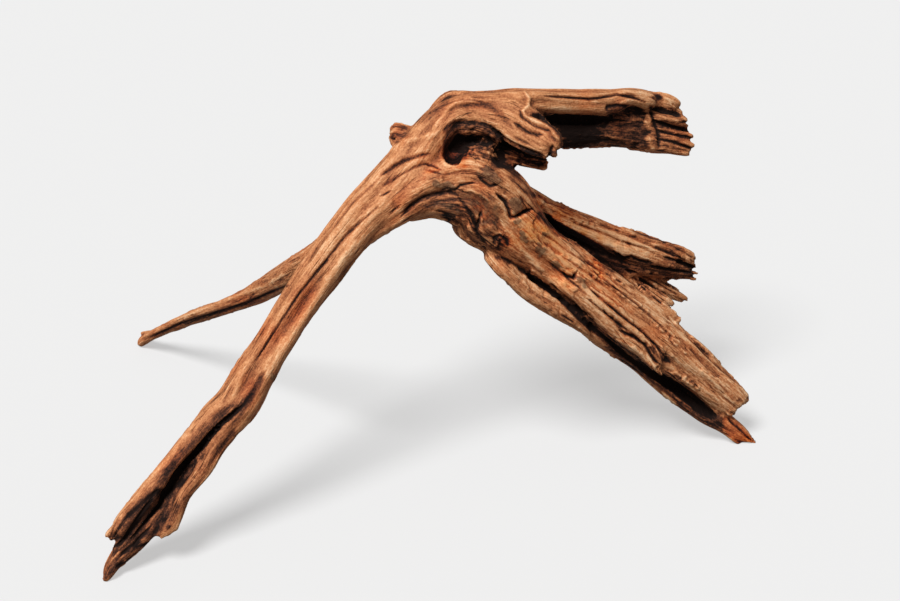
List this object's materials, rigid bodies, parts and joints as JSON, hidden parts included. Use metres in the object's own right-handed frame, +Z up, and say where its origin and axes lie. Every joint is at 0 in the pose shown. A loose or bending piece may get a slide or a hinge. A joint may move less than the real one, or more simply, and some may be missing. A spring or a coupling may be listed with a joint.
{
  "type": "piece of driftwood",
  "caption": "Branched piece of weathered driftwood that stands on three tips as an arch, with a knotted fork on top and torn branches reaching to one side.",
  "frame": {"origin": "centre of the bounding box at the level of the three tips it stands on", "axes": "+Z up, +X towards the heavy right leg, -Y towards the viewer and the front left leg"},
  "size_m": [0.6592, 0.4305, 0.3912],
  "materials": {
    "wood": "dry weathered wood, orange brown with grey bark patches and near black splits"
  },
  "bodies": {
    "root": {"driftwood": "wood"}
  },
  "joints": []
}
